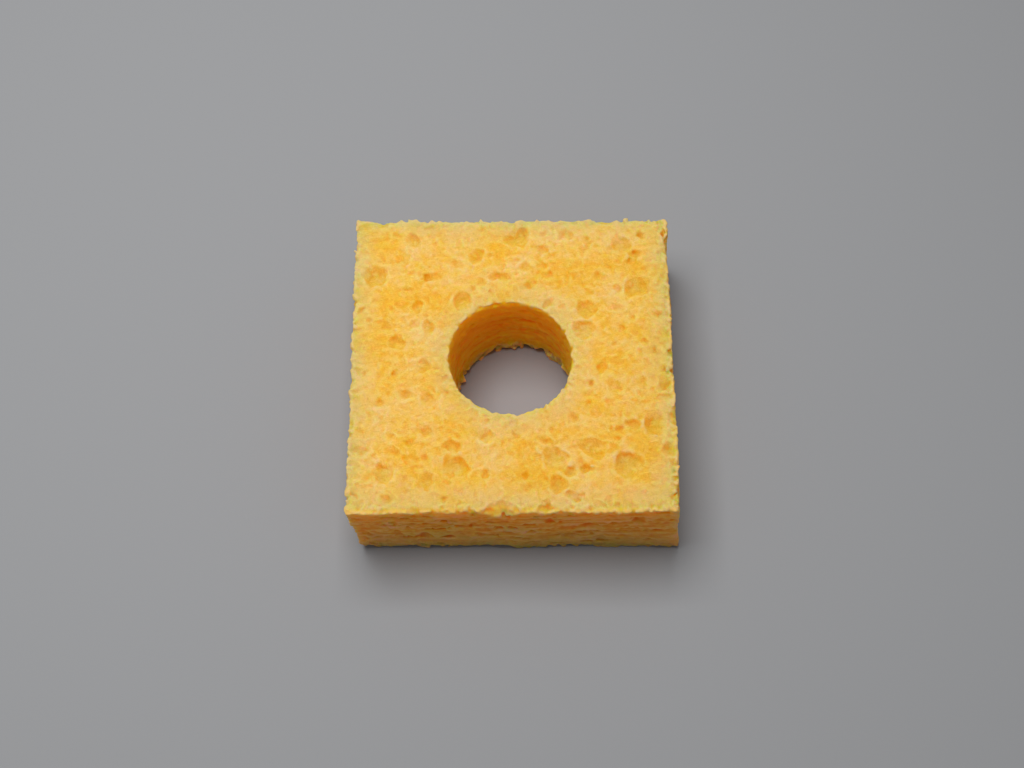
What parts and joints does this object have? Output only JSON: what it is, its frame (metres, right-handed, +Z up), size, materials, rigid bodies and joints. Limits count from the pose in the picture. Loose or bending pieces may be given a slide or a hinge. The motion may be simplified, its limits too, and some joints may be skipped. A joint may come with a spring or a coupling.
{
  "type": "soldering tip cleaning sponge",
  "caption": "Square block of open-cell cellulose sponge with a round hole through its middle, damped and used to wipe the tip of a soldering iron clean.",
  "frame": {"origin": "centre of the square underside that the block rests on", "axes": "+Z up, along the block's height and the hole's axis; +X to the right and +Y to the back, along the square's sides"},
  "size_m": [0.066, 0.066, 0.0235],
  "materials": {
    "cellulose": "matte"
  },
  "bodies": {
    "root": {"sponge": "cellulose"}
  },
  "joints": []
}
